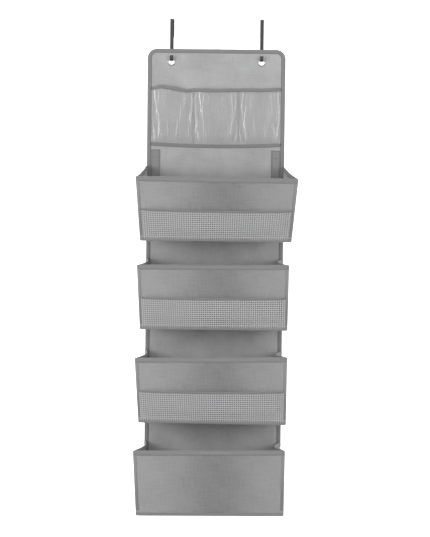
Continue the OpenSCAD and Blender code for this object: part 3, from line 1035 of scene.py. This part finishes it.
def make_sides(n):
    """The two sides and the bottom of a pocket, with the tapes along the sides' rims."""
    tapes, rows, grids = [], [], {}
    for name, side in SIDES.items():
        grid = gusset_grid(n, side)
        grids[name] = grid
        tapes.append(edge_tape(f"pocket_{n}_{name}_rim", grid, "top", RIM_TAPE, SIDE_T / 2, TAPE_CLOTH))
        edge, out, normal = grid_edge(grid, "top")
        rows += tape_stitches(f"side_{n}_{name}", edge, out, normal, RIM_TAPE, SIDE_T / 2, THREAD_CLOTH)
    tape = join(f"pocket_{n}_side_tapes", tapes)
    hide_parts(f"pocket_{n}_gusset_bindings")
    thread = join(f"pocket_{n}_side_stitches", rows)
    blend_to_front(tape)
    blend_to_front(thread)
    for name, grid in grids.items():
        piece = cloth(f"pocket_{n}_{name}_side", grid, SIDE_T, PANEL_CLOTH)
        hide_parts(f"pocket_{n}_{name}_gusset")
        blend_to_front(piece)
    make_bottom(n)


def make_bottom(n):
    """The bottom of a pocket."""
    piece = cloth(f"pocket_{n}_bottom_cloth", bottom_grid(n), BOTTOM_T, PANEL_CLOTH)
    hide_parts(f"pocket_{n}_bottom")
    blend_to_front(piece)


# ---- Mesh pockets ----

MESH_TOP = 78 * MM
MESH_HEM = 4 * MM
MESH_T = 0.45 * MM
MESH_W = 2.3 * MM


def mesh_size(n):
    """(half width, height) of a front in metres."""
    foot_left, foot_right, top_left, _ = front_corners(n)
    return (foot_right[0] - foot_left[0]) / 2, np.linalg.norm(top_left - foot_left)


def mesh_point(n, x, up, extra=0.0):
    """Points on a mesh pocket from its place across and up the front, in metres."""
    half, tall = mesh_size(n)
    edge = np.clip((half - CORNER_TAPE * 0.9 - np.abs(x)) / (22 * MM), 0, 1)
    bulge = 4.5 * MM * smooth(edge, 0, 1) * smooth(up, 8 * MM, 34 * MM)
    bulge = bulge + 0.6 * MM * ripple(x, up, 0.05, 0.4 * n) * smooth(edge, 0, 1)
    droop = 1.8 * MM * (1 - (x / half) ** 2) * up / MESH_TOP
    off = FRONT_T + TAPE + 0.3 * MM + bulge + extra
    return front_point(n, x / half, (up - droop) / tall, off)


def ribbon(points, normal, ahead):
    """Rings of a flat thread along points."""
    side = np.cross(ahead, normal)
    section = np.array([(-1, 0), (-0.6, 1), (0.6, 1), (1, 0), (0.6, -1), (-0.6, -1)])
    w, t = MESH_W / 2, MESH_T / 2
    across = side[:, None] * section[None, :, :1] * w
    through = normal[:, None] * section[None, :, 1:] * t
    return points[:, None] + across + through


def mesh_lines(n):
    """Points of every thread of a mesh pocket, upright ones first."""
    half, _ = mesh_size(n)
    reach = half - CORNER_TAPE + 2 * MM
    low, high = FOOT_TAPE - 3 * MM, MESH_TOP - MESH_HEM + 1 * MM
    across = np.arange(-math.floor(reach / MESH_PITCH), math.floor(reach / MESH_PITCH) + 1) * MESH_PITCH
    upward = np.arange(FOOT_TAPE + 3 * MM, high, MESH_PITCH)
    fine_up = np.linspace(low, high, 34)
    fine_x = np.linspace(-reach, reach, 140)
    lift = 0.15 * MM
    uprights = [mesh_point(n, np.full(34, x), fine_up, lift) for x in across]
    levels = [mesh_point(n, fine_x, np.full(140, z), -lift) for z in upward]
    return uprights, levels


def make_mesh(n):
    """A mesh pocket of flat crossing threads, and the tape along its mouth."""
    body = f"front_{n}"
    _, _, normal = grid_edge(front_grid(n), "top")
    facing = unit(normal.mean(axis=0))
    strands = []
    for k, line in enumerate([*mesh_lines(n)[0], *mesh_lines(n)[1]]):
        ahead = unit(np.gradient(line, axis=0))
        normals = np.tile(facing, (len(line), 1))
        strands.append(sweep(f"strand_{n}_{k}", ribbon(line, normals, ahead), MESH_CLOTH))
    mesh = join(f"pocket_{n}_mesh_threads", strands)
    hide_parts(f"pocket_{n}_mesh")
    half, _ = mesh_size(n)
    x = np.linspace(-(half - CORNER_TAPE + 2 * MM), half - CORNER_TAPE + 2 * MM, 101)
    edge = mesh_point(n, x, np.full(101, MESH_TOP))
    out = unit(edge - mesh_point(n, x, np.full(101, MESH_TOP - 2 * MM)))
    normals = np.tile(facing, (101, 1))
    hem = tape_along(f"pocket_{n}_mesh_hem_tape", edge, out, normals, MESH_HEM, MESH_T, TAPE_CLOTH)
    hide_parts(f"pocket_{n}_mesh_hem")
    thread = join(
        f"pocket_{n}_mesh_stitches",
        tape_stitches(f"mesh_row_{n}", edge, out, normals, MESH_HEM, MESH_T, THREAD_CLOTH),
    )
    for piece in (mesh, hem, thread):
        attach(piece, body)


make_camera()
make_room()
for side_name in SIDES:
    make_hook(side_name)
make_panel()
make_eyelets()
make_clear_pockets()
for pocket in POCKETS:
    make_sides(pocket)
    make_front(pocket)
for pocket in MESH_POCKETS:
    make_mesh(pocket)
